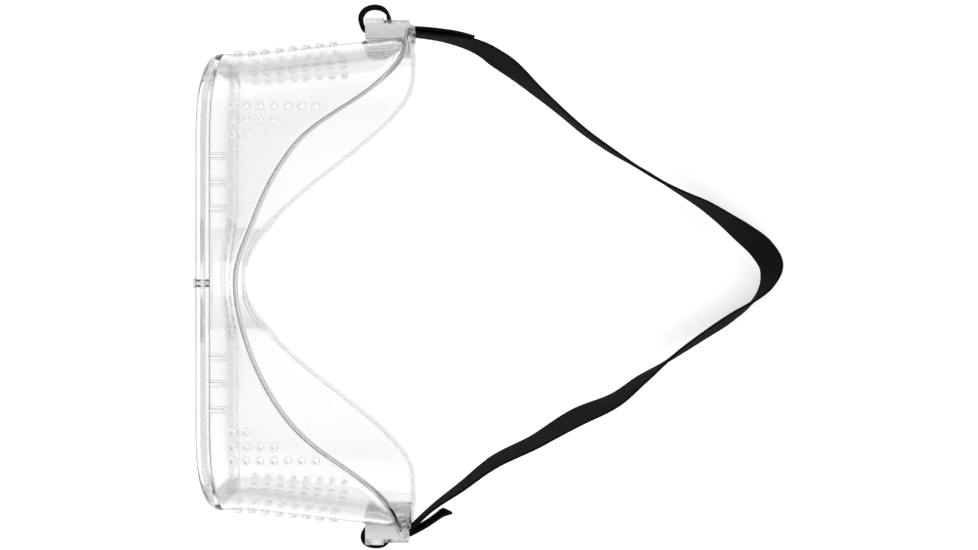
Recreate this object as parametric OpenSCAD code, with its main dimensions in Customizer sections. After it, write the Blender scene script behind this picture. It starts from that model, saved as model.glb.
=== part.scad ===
// Safety goggles of the direct-vent kind: a clear soft body with a flat-fronted lens in a grooved rim,
// perforated temple walls, two clip-on strap buckles and an elastic headband.
// X runs across the wearer's face, -Y is the way the wearer looks, +Z is up, and Z = 0 is the resting plane.

/* [Front rim] */
// Overall width of the front rim
rim_w = 165; // [155:1:172]
// Overall height of the front rim
rim_h = 78; // [74:1:84]
// Corner radius of the rim seen from the front
rim_corner_r = 21; // [16:1:26]
// Depth of the rim from front to back
rim_d = 5; // [4.5:0.1:6]
// Width of the straight middle stretch of the rim and lens
flat_w = 100; // [80:5:120]
// Bend radius of the rim and lens outside the straight stretch
end_bend_r = 200; // [150:10:400]
// Radius on the rim's vertical outer edges seen from above
rim_edge_r = 4.5; // [3:0.5:4.5]

/* [Lens] */
// Thickness of the lens sheet
lens_t = 1.6; // [1.2:0.1:2]
// Distance from the rim's outline to the lens edge
lens_inset = 2; // [1.6:0.1:2.4]
// Distance from the rim's outline to the edge of the clear window
window_inset = 5.6; // [5:0.1:7]

/* [Body shell] */
// Wall thickness of the soft body
wall_t = 1.6; // [1.4:0.1:2]
// Width of the body where it meets the rim
body_front_w = 162; // [152:1:163]
// Width of the body at its back edge
body_back_w = 178; // [176:0.5:178]
// Depth of the body from the rim's front plane to its deepest back edge
body_d = 75; // [73:1:77]
// Depth of the forehead edge on the midline
forehead_d = 14.7; // [12:0.1:18]
// Depth of the nose bridge edge on the midline
nose_d = 10.5; // [9:0.1:12]
// Thickness of the sealing lip around the back edge
lip_t = 1.6; // [1.2:0.1:2]
// How far the sealing lip stands out from the wall on each side
lip_proud = 2; // [1:0.1:2.2]

/* [Nose arch] */
// Height of the arch over the nose
nose_h = 20; // [14:1:22]
// Width of the arch at its foot
nose_w = 46; // [38:1:50]
// Radius of the arch's crown
nose_r = 10; // [8:1:12]

/* [Vents] */
// Distance between vent holes from front to back
vent_pitch = 4.9; // [4.8:0.1:5]
// Diameter of a vent hole
vent_d = 1.6; // [1.2:0.1:2]
// Columns of vents in each temple wall
side_columns = 8; // [4:1:8]
// Depth of the first column of vents
vent_start = 12.8; // [12:0.1:14]

/* [Buckles and headband] */
// Height of the strap's centre line above the resting plane
strap_z = 42; // [38:1:44]
// Width of the elastic webbing
strap_w = 15; // [12:1:15]
// Thickness of the elastic webbing
strap_t = 1.2; // [1:0.1:1.2]
// Length of a buckle from front to back
buckle_l = 16.5; // [16.5:0.5:19]
// Radius of the webbing's bight around the buckle's front bar
bight_r = 5.6; // [5.2:0.1:6]
// Overall depth from the locking stud's head to the back of the headband
overall_d = 216; // [205:1:230]
// Sideways offset of the headband's apex, which lies where it was dropped
apex_x = -7; // [-12:1:12]
// Height of the webbing's centre line at the back of the headband
back_z = 8.5; // [8:0.5:20]

/* [Hidden] */

arc_fn = 48;      // segments in a full turn of the outlines' round corners
hull_fn = 32;     // segments in the corners of the body's hulls
steps = 10;       // straight steps in each curved stretch
fit_gap = 0.1;    // clearance around a piece that is pushed into place
eps = 0.01;       // thickness of the slices that a hull joins
hole_fn = 24;     // segments round a vent hole
far = 130;        // beyond the body on every side

// Body sections
mid_z = rim_h / 2;
body_front_y = rim_d - 1;
body_end_y = body_d + 4;
body_corner_r = rim_corner_r - 1.5;
body_front_h = rim_h - 3;
behind_rim = rim_d + 10;         // behind the rim's bent ends

// Locking stud at the top of the rim
stud_d = 2.6;
stud_head_d = 4.6;
stud_head_t = 1.3;
stud_z = rim_h - window_inset / 2;
stud_l = rim_d - 0.6;
stud_chamfer = 0.4;

// Stiffening ribs behind the rim's top edge
rib_w = 1.5;
rib_l = 5.3;
rib_rise = 2;
rib_sunk = 0.5;                  // how far a rib reaches into the rim and the roof
rib_pitch = 9.25;
first_rib_x = 26.3;

// Vent rows
side_row_z = 11;                 // height of a temple wall's lowest upper row above the middle
side_row_gap = 5.5;
corner_row_step = 17.5;          // angle between the rows that go round the lower corner
roof_rows = [[62.5, 7], [57.5, 4], [52.5, 2]];   // distance from the midline and number of vents
vent_reach = 30;                 // how far a vent's drill goes outward

// Ear of the body that each buckle grips, and the buckle's walls outward from it
ear_in = 84.9;
ear_out = 88.6;
ear_h = 20;
ear_lead = 0.5;                  // how far an ear starts in front of its buckle
room_side = 0.6;                 // room beside a buckle's inner leg as it is pushed on
room_over = 0.4;                 // room above and below the buckle
room_out = 4;                    // room outside the ear
leg_t = 1.5;
plate_t = 2;
tunnel_w = 4;
mouth_y = body_d - 0.5;          // the buckles' rear mouths
buckle_end_y = mouth_y - leg_t;
buckle_y = mouth_y - buckle_l;
buckle_h = ear_h + 1;
web_t = 2;
middle_in = ear_out + fit_gap;
tunnel_in = middle_in + leg_t;
plate_in = tunnel_in + tunnel_w;
front_bar_l = 6.7;
slot_l = 2.9;
rear_bar_l = 6.4;
tunnel_l = front_bar_l + slot_l + rear_bar_l;
rear_bar_t = plate_t - 0.8;
lead_in = 1.6;
slot_y = buckle_y + front_bar_l + slot_l / 2;
nub_d = 2.8;
nub_t = 1;
nub_root = 1;                    // how far a nub is rooted in its ear

// Headband paths
tunnel_gap = 0.5;                // clearance between the webbing and the tunnel's sides
main_x = tunnel_in + tunnel_gap + strap_t / 2;
tail_x = plate_in - tunnel_gap - strap_t / 2;
slot_bend_r = 1.2;
neck_y = 99.6;                   // where the doubled webbing behind each buckle ends and the band can bend
join_gap = 0.1;                  // clearance between a run and the back band
swing_gap = 0.5;                 // clearance between a neck and its run
tail_gap = 0.5;                  // clearance between a buckle's webbing and its free end
swing_r = strap_w / 2 + 0.4;
swing_y = neck_y + swing_gap + swing_r;
right_tail_l = 24;               // free ends, measured back from the mouths
left_tail_l = 14.5;
back_y = overall_d - stud_head_t - strap_t / 2;
foot_x = nose_w / 2;
crown = [0, nose_h - nose_r];    // centre of the nose arch's crown
origin_y = overall_d / 2 - stud_head_t;   // the footprint's middle, measured from the rim's front plane
back_split_y = back_y - 20;

// ---------- curves ----------

// Points of a cubic curve from a to d with handles b and c
function cubic(a, b, c, d, n = steps) =
    [for (i = [0:n]) let (t = i / n, u = 1 - t)
        u * u * u * a + 3 * u * u * t * b + 3 * u * t * t * c + t * t * t * d];

// Points of an arc about c from angle a0 to a1
function arc(c, r, a0, a1, n = steps) =
    [for (i = [0:n]) let (a = a0 + (a1 - a0) * i / n) c + r * [cos(a), sin(a)]];

function drop_first(p) = [for (i = [1:len(p) - 1]) p[i]];
function reversed(p) = [for (i = [len(p) - 1:-1:0]) p[i]];
function mirrored(p) = [for (q = p) [-q[0], q[1]]];

// Both halves of a curve that is given from the midline outward
function both_sides(p) = concat(reversed(mirrored(p)), drop_first(p));

// Unit normal of a path at point i, to the left of its direction
function normal_at(p, i) =
    let (a = p[max(i - 1, 0)], b = p[min(i + 1, len(p) - 1)], d = (b - a) / norm(b - a)) [-d[1], d[0]];

// Outline of a path thickened to t
function ribbon(p, t) = concat(
    [for (i = [0:len(p) - 1]) p[i] + normal_at(p, i) * t / 2],
    [for (i = [len(p) - 1:-1:0]) p[i] - normal_at(p, i) * t / 2]);

// Sag of the rim's front at distance x from the midline
function sag(x) = let (e = max(abs(x) - flat_w / 2, 0)) end_bend_r - sqrt(end_bend_r * end_bend_r - e * e);

// Back edge over the forehead, from the midline outward
forehead = concat(
    cubic([0, forehead_d], [18, forehead_d], [38, 24], [50, 34.5]),
    drop_first(cubic([50, 34.5], [62, 45], [66, body_d - 16], [78, body_d - 7.5])),
    drop_first(cubic([78, body_d - 7.5], [83, body_d - 4], [88, body_d - 1], [93, body_d], 5)));

// Back edge under the cheeks, from the nose bridge outward
cheek = concat(
    cubic([0, nose_d], [9, nose_d], [14, 12], [21, 18.4], 6),
    drop_first(cubic([21, 18.4], [38, 33], [54, 62], [70, body_d - 3])),
    drop_first(cubic([70, body_d - 3], [75, body_d], [84, body_d], [93, body_d], 5)));

// ---------- shared shapes ----------

module rounded_rect(w, h, r, fn) {
    offset(r = r, $fn = fn)
        square([w - 2 * r, h - 2 * r], center = true);
}

// The nose arch seen from the front: a round crown of radius r with straight sides down to its foot
module nose_arch(grow = 0) {
    r = nose_r + grow;
    foot = foot_x + grow;
    touch = acos(r / norm([foot, crown[1]])) - atan2(crown[1], foot);
    top = arc(crown, r, touch, 180 - touch, 12);
    polygon(concat([[-foot, -1], [foot, -1], [foot, 0]], top, [[-foot, 0]]));
}

// The rim's outline from the front, pulled in by inset
module front_outline(inset) {
    offset(r = -inset, $fn = arc_fn)
        difference() {
            translate([0, mid_z]) rounded_rect(rim_w, rim_h, rim_corner_r, arc_fn);
            nose_arch();
        }
}

// Stands an outline drawn in X and Z upright, from depth y0 back to y1
module upright(y0, y1) {
    translate([0, y1, 0])
        rotate([90, 0, 0])
            linear_extrude(y1 - y0)
                children();
}

// Plan of a sheet that follows the rim's front, from depth d0 to d1 behind it, over width w
module bent_sheet(d0, d1, w) {
    xs = [for (i = [-steps:steps]) w / 2 * i / steps];
    polygon(concat(
        [for (x = xs) [x, sag(x) + d0]],
        [for (x = reversed(xs)) [x, sag(x) + d1]]));
}

// Plan of the rim with its outer front edges rounded
module rim_plan() {
    edge = rim_w / 2;
    side_y = sag(edge) + rim_edge_r;
    corner = arc([edge - rim_edge_r, side_y], rim_edge_r, -70, 0, 6);
    inner_xs = [for (i = [0:steps]) (edge - rim_edge_r) * i / steps];
    half = concat([for (x = inner_xs) [x, sag(x)]], corner, [[edge, rim_d + sag(edge)]]);
    back = [for (x = reversed(inner_xs)) [x, rim_d + sag(x)]];
    outline = concat(half, back);
    polygon(concat(outline, reversed(mirrored(outline))));
}

// The body's outer form, grown outward by g
module body_form(g) {
    hull() {
        translate([0, 0, mid_z])
            upright(body_front_y, body_front_y + eps)
                rounded_rect(body_front_w + 2 * g, body_front_h + 2 * g, body_corner_r + g, hull_fn);
        translate([0, 0, mid_z])
            upright(body_end_y, body_end_y + eps)
                rounded_rect(body_back_w + 2 * g, rim_h + 2 * g, rim_corner_r + g, hull_fn);
    }
}

// Plan of everything in front of a back edge
module in_front_of(edge) {
    polygon(concat(both_sides(edge), [[far, body_d], [far, -far], [-far, -far], [-far, body_d]]));
}

// Lets through what is in front of the back edge, by the forehead above the middle and the cheek below it
module trimmed() {
    intersection() {
        children();
        union() {
            translate([0, 0, mid_z]) linear_extrude(rim_h) in_front_of(forehead);
            translate([0, 0, -rim_h + mid_z]) linear_extrude(rim_h) in_front_of(cheek);
        }
    }
}

// A wall lip_t thick that follows the back edge
module back_edge_wall(edge, z0) {
    translate([0, 0, z0])
        linear_extrude(rim_h)
            difference() {
                in_front_of(edge);
                offset(delta = -lip_t) in_front_of(edge);
            }
}

// ---------- frame body ----------

module shell() {
    difference() {
        trimmed() body_form(0);
        body_cavity();
    }
}

// The space inside the walls, open at the front and the back
module body_cavity() {
    front_h = body_front_h - 2 * wall_t;
    hull() {
        translate([0, 0, mid_z])
            upright(body_front_y - 1, body_front_y)
                rounded_rect(body_front_w - 2 * wall_t, front_h, body_corner_r - wall_t, hull_fn);
        translate([0, 0, mid_z])
            upright(body_end_y + 1, body_end_y + 2)
                rounded_rect(body_back_w - 2 * wall_t, rim_h - 2 * wall_t, rim_corner_r - wall_t, hull_fn);
    }
}

module sealing_lip() {
    intersection() {
        union() {
            back_edge_wall(forehead, mid_z);
            back_edge_wall(cheek, mid_z - rim_h);
        }
        difference() {
            body_form(lip_proud);
            body_form(-wall_t - lip_proud);
        }
        translate([-far, 0, 0]) cube([2 * far, far, far]);
    }
}

// Wall that carries the body over the nose, with its own lip
module nose_saddle() {
    intersection() {
        union() {
            trimmed() upright(body_front_y, body_d)
                nose_arch(wall_t);
            intersection() {
                back_edge_wall(cheek, mid_z - rim_h);
                upright(0, body_d) nose_arch(wall_t + lip_proud);
            }
        }
        body_form(0);
    }
}

module rim() {
    intersection() {
        linear_extrude(rim_h + 1) rim_plan();
        upright(-1, behind_rim)
            difference() {
                front_outline(0);
                front_outline(window_inset);
            }
    }
}

module lens_groove() {
    intersection() {
        linear_extrude(rim_h)
            bent_sheet(rim_d / 2 - lens_t / 2 - fit_gap, rim_d / 2 + lens_t / 2 + fit_gap, rim_w);
        upright(-1, behind_rim) front_outline(lens_inset - fit_gap);
    }
}

// Wedges that brace the rim against the roof
module rim_ribs() {
    rib_z = mid_z + body_front_h / 2 - rib_sunk;
    for (side = [-1, 1], i = [0:2])
        translate([side * (first_rib_x + i * rib_pitch) + rib_w / 2, rim_d - rib_sunk, rib_z])
            rotate([0, -90, 0])
                linear_extrude(rib_w)
                    polygon([[0, 0], [rib_rise, 0], [rib_rise, rib_sunk], [0, rib_l + rib_sunk]]);
}

module ear(side) {
    x0 = side > 0 ? ear_in : -ear_out;
    translate([x0, buckle_y - ear_lead, strap_z - ear_h / 2])
        cube([ear_out - ear_in, buckle_end_y - buckle_y + ear_lead - fit_gap, ear_h]);
    translate([side * (ear_in + nub_root), (buckle_y + buckle_end_y) / 2, strap_z])
        rotate([0, -90 * side, 0])
            cylinder(d = nub_d, h = nub_t + nub_root, $fn = arc_fn);
}

// Room in the lip for a buckle that is pushed on from behind
module buckle_room(side) {
    x0 = side > 0 ? ear_in - leg_t - room_side : -ear_out - room_out;
    translate([x0, buckle_y, strap_z - buckle_h / 2 - room_over])
        cube([ear_out - ear_in + leg_t + room_side + room_out, far, buckle_h + 2 * room_over]);
}

// Drill that starts inside a lower corner's centre and points sideways, tilted down by the given angle
module vent_drill(side, y, z, tilt) {
    translate([side * (body_front_w / 2 - rim_corner_r), y, z])
        rotate([0, side * (90 + tilt), 0])
            cylinder(d = vent_d, h = vent_reach, $fn = hole_fn);
}

module side_vents(side) {
    for (c = [0:side_columns - 1], k = [0:2]) {
        y = vent_start + c * vent_pitch;
        vent_drill(side, y, mid_z + side_row_z + k * side_row_gap, 0);
        vent_drill(side, y, rim_corner_r, k * corner_row_step);
    }
}

module roof_and_floor_vents(side) {
    for (row = roof_rows, c = [0:row[1] - 1], z = [mid_z, mid_z - rim_h])
        translate([side * row[0], vent_start + c * vent_pitch, z])
            cylinder(d = vent_d, h = rim_h, $fn = hole_fn);
}

// Blind hole for the stud, open to the front
module stud_hole() {
    translate([0, stud_l + fit_gap, stud_z])
        rotate([90, 0, 0])
            cylinder(d = stud_d + 2 * fit_gap, h = rim_d, $fn = arc_fn);
}

module frame_body() {
    color([0.9, 0.92, 0.93, 0.35])
        difference() {
            union() {
                difference() {
                    union() {
                        shell();
                        sealing_lip();
                        nose_saddle();
                    }
                    for (side = [-1, 1]) buckle_room(side);
                }
                rim();
                rim_ribs();
                for (side = [-1, 1]) ear(side);
            }
            upright(-1, body_d + 10) nose_arch();
            lens_groove();
            stud_hole();
            for (side = [-1, 1]) {
                side_vents(side);
                roof_and_floor_vents(side);
            }
        }
}

// ---------- lens ----------

module lens() {
    color([0.85, 0.9, 0.95, 0.3])
        difference() {
            intersection() {
                linear_extrude(rim_h)
                    bent_sheet(rim_d / 2 - lens_t / 2, rim_d / 2 + lens_t / 2, rim_w);
                upright(-1, behind_rim) front_outline(lens_inset);
            }
            translate([0, rim_d + 1, stud_z])
                rotate([90, 0, 0])
                    cylinder(d = stud_d + 4 * fit_gap, h = rim_d + 2, $fn = arc_fn);
            translate([-stud_d / 2 - 2 * fit_gap, -1, stud_z])
                cube([stud_d + 4 * fit_gap, rim_d + 2, rim_h]);
        }
}

// Push-in stud that stops the lens from creeping out of its groove
module lens_lock_stud() {
    head_r = stud_head_d / 2;
    color([0.93, 0.93, 0.9, 0.6])
        translate([0, 0, stud_z])
            rotate([-90, 0, 0])
                rotate_extrude($fn = arc_fn)
                    polygon([
                        [0, -stud_head_t], [head_r - stud_chamfer, -stud_head_t],
                        [head_r, -stud_head_t + stud_chamfer], [head_r, 0], [stud_d / 2, 0],
                        [stud_d / 2, stud_l - stud_chamfer], [stud_d / 2 - stud_chamfer, stud_l], [0, stud_l]
                    ]);
}

// ---------- buckles ----------

// Drawn for the wearer's left side, where x is positive
module buckle() {
    z0 = strap_z - buckle_h / 2;
    leg_x = ear_in - fit_gap - leg_t;
    rear_bar_y = buckle_y + tunnel_l - rear_bar_l;
    difference() {
        union() {
            // leg inside the ear, bridge around its back edge, and wall outside it
            translate([leg_x, buckle_y, z0]) cube([leg_t, buckle_l, buckle_h]);
            translate([leg_x, buckle_end_y, z0]) cube([tunnel_in - leg_x, leg_t, buckle_h]);
            translate([middle_in, buckle_y, z0]) cube([leg_t, buckle_l, buckle_h]);
            // webs above and below the webbing
            for (z = [z0, z0 + buckle_h - web_t])
                translate([middle_in, buckle_y, z])
                    cube([plate_in + rear_bar_t - middle_in, tunnel_l, web_t]);
            // front and rear bars of the outer plate
            translate([plate_in, buckle_y, z0]) cube([plate_t, front_bar_l, buckle_h]);
            translate([plate_in, rear_bar_y, z0]) cube([rear_bar_t, rear_bar_l, buckle_h]);
        }
        // chamfered lead-in on the inner leg
        translate([leg_x, buckle_y, strap_z])
            rotate([0, 0, 45])
                cube([lead_in, lead_in, 2 * buckle_h], center = true);
        // hole that drops over the ear's nub
        translate([ear_in - 3, (buckle_y + buckle_end_y) / 2, strap_z])
            rotate([0, 90, 0])
                cylinder(d = nub_d + 2 * fit_gap, h = 3, $fn = arc_fn);
    }
}

module strap_clip_left() { color([0.92, 0.93, 0.93, 0.6]) buckle(); }
module strap_clip_right() { color([0.92, 0.93, 0.93, 0.6]) mirror([1, 0, 0]) buckle(); }

// ---------- headband ----------

// Plan of the side runs, from the buckles' mouths to the back band
right_run = cubic([-main_x, mouth_y], [-main_x + 0.7, 112], [-68, 124], [apex_x - 19, back_split_y], 16);
left_run = cubic([main_x, mouth_y], [70, 92], [58, 134], [apex_x + 22, back_split_y], 16);

// The stretch of a run that stays with its buckle, from its end forward to the mouth
function neck(run) = concat(
    [[lookup(neck_y, [for (p = run) [p[1], p[0]]]), neck_y]],
    reversed([for (p = run) if (p[1] < neck_y) p]));

// Path of one buckle's webbing, drawn where x is positive: forward along the neck and through the tunnel,
// round the front bar, in at the slot, and back to the mouth
function bight_path(run) = concat(
    neck(run),
    arc([main_x + bight_r * cos(40), buckle_y + bight_r * sin(35)], bight_r, 215, 410, 16),
    arc([tail_x + slot_bend_r, slot_y + slot_bend_r], slot_bend_r, 270, 180, 4),
    [[tail_x, mouth_y]]);

// Webbing that stands level with the buckles along a path
module level_webbing(path) {
    translate([0, 0, strap_z - strap_w / 2])
        linear_extrude(strap_w)
            polygon(ribbon(path, strap_t));
}

module strap_bight_left() { color("black") level_webbing(bight_path(left_run)); }
module strap_bight_right() {
    color("black")
        mirror([1, 0, 0])
            level_webbing(bight_path(mirrored(right_run)));
}

// Plan of the back of the headband
apex = [apex_x, back_y];
back_band = concat(
    cubic([apex_x - 19, back_split_y], [apex_x - 12, back_split_y + 12], apex - [8, 0], apex, 8),
    drop_first(cubic(apex, apex + [9, 0], [apex_x + 14, back_split_y + 14], [apex_x + 22, back_split_y], 8)));

// Plan of the free ends, which lie outside the runs
tail_y = mouth_y + tail_gap;
right_tail_y = mouth_y + right_tail_l;
left_tail_y = mouth_y + left_tail_l;
right_tail = cubic([-tail_x, tail_y], [-tail_x + 0.4, tail_y + 8], [-tail_x + 2.6, right_tail_y - 7],
    [-tail_x + 4, right_tail_y]);
left_tail = cubic([tail_x, tail_y], [tail_x - 1, tail_y + 4], [tail_x - 4.5, left_tail_y - 5],
    [tail_x - 9, left_tail_y]);

// Height of the webbing's centre line at depth y: level at the buckles, sinking to the resting plane behind
sinking = concat(
    [[neck_y, strap_z]],
    cubic([swing_y - 4, strap_z], [swing_y + 22, strap_z - 8], [back_y - 60, back_z], [back_y, back_z]));

// Side view of the webbing between depths y0 and y1
module side_view(y0, y1) {
    inside = [for (p = sinking) if (p[0] > y0 + eps && p[0] < y1 - eps) p];
    line = concat([[y0, lookup(y0, sinking)]], inside, [[y1, lookup(y1, sinking)]]);
    polygon(concat(
        [for (p = line) p + [0, strap_w / 2]],
        [for (p = reversed(line)) p - [0, strap_w / 2]]));
}

// The webbing between depths y0 and y1, where the plan and the side view agree
module sinking_webbing(path, y0, y1) {
    intersection() {
        linear_extrude(rim_h) polygon(ribbon(path, strap_t));
        translate([-far, 0, 0])
            rotate([90, 0, 90])
                linear_extrude(2 * far)
                    side_view(y0, y1);
    }
}

// Webbing that starts with a round end about the swing axis, so that it clears the neck as it swings
module swinging_webbing(path, y1) {
    intersection() {
        sinking_webbing(path, neck_y, y1);
        union() {
            translate([-far, swing_y, strap_z])
                rotate([0, 90, 0])
                    cylinder(r = swing_r, h = 2 * far, $fn = arc_fn);
            translate([-far, swing_y, 0]) cube([2 * far, 2 * far, rim_h]);
        }
    }
}

module strap_tail_right() { color("black") level_webbing(right_tail); }
module strap_tail_left() { color("black") level_webbing(left_tail); }
module strap_run_right() { color("black") swinging_webbing(right_run, back_split_y - join_gap); }
module strap_run_left() { color("black") swinging_webbing(left_run, back_split_y - join_gap); }
module strap_back() { color("black") sinking_webbing(back_band, back_split_y, back_y + strap_t); }

// ---------- nodes ----------

module placed() { translate([0, -origin_y, 0]) children(); }

placed() frame_body();
placed() lens();
placed() lens_lock_stud();
placed() strap_clip_right();
placed() strap_clip_left();
placed() strap_bight_right();
placed() strap_bight_left();
placed() strap_tail_right();
placed() strap_tail_left();
placed() strap_run_right();
placed() strap_run_left();
placed() strap_back();
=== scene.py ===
"""Looks for a pair of clear safety goggles with an elastic headband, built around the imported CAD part.

Lengths in the modelling functions are millimetres. A point is (x, depth, z): x across the face, depth
measured back from the front plane of the rim, z up from the resting plane. world() turns such points into
metres in the row frame.
"""

import math

import bmesh
import bpy
import numpy as np
from mathutils import Matrix, Vector
from mathutils.kdtree import KDTree

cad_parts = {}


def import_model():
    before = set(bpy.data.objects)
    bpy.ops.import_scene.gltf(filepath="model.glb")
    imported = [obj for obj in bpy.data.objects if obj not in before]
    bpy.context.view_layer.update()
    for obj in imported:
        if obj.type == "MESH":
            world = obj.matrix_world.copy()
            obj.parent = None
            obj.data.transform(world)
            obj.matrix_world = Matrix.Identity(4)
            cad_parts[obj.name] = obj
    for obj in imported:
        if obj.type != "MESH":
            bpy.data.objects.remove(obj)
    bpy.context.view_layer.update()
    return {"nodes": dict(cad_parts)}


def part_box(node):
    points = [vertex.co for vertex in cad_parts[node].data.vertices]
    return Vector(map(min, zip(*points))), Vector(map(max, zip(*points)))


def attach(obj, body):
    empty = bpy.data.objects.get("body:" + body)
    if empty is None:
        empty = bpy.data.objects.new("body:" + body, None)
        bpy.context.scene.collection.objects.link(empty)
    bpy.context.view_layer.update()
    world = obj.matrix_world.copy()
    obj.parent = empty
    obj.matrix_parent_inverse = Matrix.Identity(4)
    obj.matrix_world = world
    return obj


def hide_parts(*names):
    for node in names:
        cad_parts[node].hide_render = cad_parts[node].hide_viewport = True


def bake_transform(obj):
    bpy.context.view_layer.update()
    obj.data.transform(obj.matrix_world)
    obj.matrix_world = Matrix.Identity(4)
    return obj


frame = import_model()

MM = 0.001
scene = bpy.context.scene

# ---------- places taken from the CAD part ----------

RIM_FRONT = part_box("frame_body")[0].y / MM


def box_mm(node):
    """A CAD node's box as two (x, depth, z) points in millimetres."""
    low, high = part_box(node)
    shift = np.array([0.0, RIM_FRONT, 0.0])
    return np.array(low) / MM - shift, np.array(high) / MM - shift


stud_low, stud_high = box_mm("lens_lock_stud")
clip_low, clip_high = box_mm("strap_clip_left")
bight_low, bight_high = box_mm("strap_bight_left")
back_low, back_high = box_mm("strap_back")

HEIGHT = box_mm("frame_body")[1][2]
MID_Z = HEIGHT / 2
RIM_HALF, RIM_R = 82.5, 21.0  # half the rim's width and its corner radius
STRAIGHT_HALF, BEND_R = 50.0, 200.0  # the front is straight this far out, and bent to this radius beyond
LENS_HALF = box_mm("lens")[1][0]
LENS_FRONT, LENS_BACK = 1.7, 3.3
STUD_Z = (stud_low[2] + stud_high[2]) / 2

# the buckles: outer face, front and rear ends, and the outer face of the body's ear that each one grips
PLATE_OUT = clip_high[0]
CLIP_FRONT = clip_low[1]
MOUTH = clip_high[1]
EAR_OUT = PLATE_OUT - 7.6

# the webbing: its height, width and thickness, and where its outer and inner layers run through a buckle
STRAP_Z = (bight_low[2] + bight_high[2]) / 2
STRAP_W = bight_high[2] - bight_low[2]
STRAP_T = 1.2
TAIL_X = box_mm("strap_tail_left")[1][0] - STRAP_T / 2
MAIN_X = TAIL_X - 1.8

# depths where the headband passes from one piece to the next
NECK_END = bight_high[1]
RUN_SPLIT = 124.0
BACK_SPLIT = back_low[1]
BAND_BACK = back_high[1]


def world(points):
    """(x, depth, z) points in millimetres as metres in the row frame."""
    p = np.asarray(points, float).reshape(-1, 3)
    return (p + [0.0, RIM_FRONT, 0.0]) * MM


def smooth(a, b, v):
    """0 below a, 1 above b, and a smooth step between."""
    t = np.clip((np.asarray(v, float) - a) / (b - a), 0.0, 1.0)
    return t * t * (3 - 2 * t)


def sag(x):
    """How far the rim's front has swept back at x."""
    e = np.maximum(np.abs(x) - STRAIGHT_HALF, 0.0)
    return BEND_R - np.sqrt(BEND_R**2 - e * e)


def cubic(a, b, c, d, n=24):
    """Points of a cubic curve with handles b and c."""
    t = np.linspace(0, 1, n + 1)[:, None]
    u = 1 - t
    a, b, c, d = (np.array(p, float) for p in (a, b, c, d))
    return u**3 * a + 3 * u * u * t * b + 3 * u * t * t * c + t**3 * d


def chain(*parts):
    """Curves joined end to end without repeating the shared points."""
    return np.vstack([parts[0]] + [p[1:] for p in parts[1:]])


# ---------- meshes ----------


def linked(name, data):
    """A new object in the scene that shows a mesh, light or camera."""
    obj = bpy.data.objects.new(name, data)
    scene.collection.objects.link(obj)
    return obj


def mesh_from(name, bm):
    """A mesh with a bmesh's contents; the bmesh is freed."""
    mesh = bpy.data.meshes.new(name)
    bm.to_mesh(mesh)
    bm.free()
    return mesh


def mesh_object(name, points, faces, uv=None):
    """A smooth-shaded mesh object from millimetre points. uv is one (u, v) per point."""
    mesh = bpy.data.meshes.new(name)
    mesh.from_pydata([tuple(p) for p in world(points)], [], faces)
    mesh.validate()
    mesh.shade_smooth()
    if uv is not None:
        layer = mesh.uv_layers.new(name="along")
        index = np.zeros(len(mesh.loops), np.int32)
        mesh.loops.foreach_get("vertex_index", index)
        layer.data.foreach_set("uv", np.asarray(uv, np.float32)[index].ravel())
    return linked(name, mesh)


def face_outward(obj):
    """Makes a closed mesh's faces point outward."""
    bm = bmesh.new()
    bm.from_mesh(obj.data)
    bmesh.ops.recalc_face_normals(bm, faces=bm.faces)
    bm.to_mesh(obj.data)
    bm.free()
    return obj


def ring_faces(rings, count, close_rings):
    """Quads between successive rings of count points each; close_rings joins the last ring to the first."""
    faces = []
    last = rings if close_rings else rings - 1
    for r in range(last):
        a, b = r * count, ((r + 1) % rings) * count
        for i in range(count):
            j = (i + 1) % count
            faces.append((a + i, a + j, b + j, b + i))
    return faces


def tube(name, rings):
    """A closed skin through rings, an array (ring, point, xyz) whose last ring meets the first."""
    rings = np.asarray(rings, float)
    count, size = rings.shape[:2]
    return face_outward(mesh_object(name, rings.reshape(-1, 3), ring_faces(count, size, True)))


def block(name, low, high, bevel):
    """A box with rounded edges between two corners."""
    bm = bmesh.new()
    bmesh.ops.create_cube(bm, size=1)
    centre, size = (np.array(low) + high) / 2, np.array(high) - low
    for v in bm.verts:
        v.co = Vector(world([centre + np.array(v.co) * size])[0])
    if bevel:
        bmesh.ops.bevel(bm, geom=bm.edges[:], offset=bevel * MM, segments=3, affect="EDGES", profile=0.5)
    mesh = mesh_from(name, bm)
    mesh.shade_smooth()
    return face_outward(linked(name, mesh))


def wedge(name, x, foot, top, y0, y1, z0, z1):
    """A small rib whose sides and rear draw in upwards; foot and top are half its width at either end."""
    corners = []
    for z, half in ((z0, foot), (z1, top)):
        rear = y1 - (foot - half)
        corners += [(x - half, y0, z), (x + half, y0, z), (x + half, rear, z), (x - half, rear, z)]
    faces = [(0, 3, 2, 1), (4, 5, 6, 7), (0, 1, 5, 4), (1, 2, 6, 5), (2, 3, 7, 6), (3, 0, 4, 7)]
    return mesh_object(name, np.array(corners, float), faces)


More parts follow.
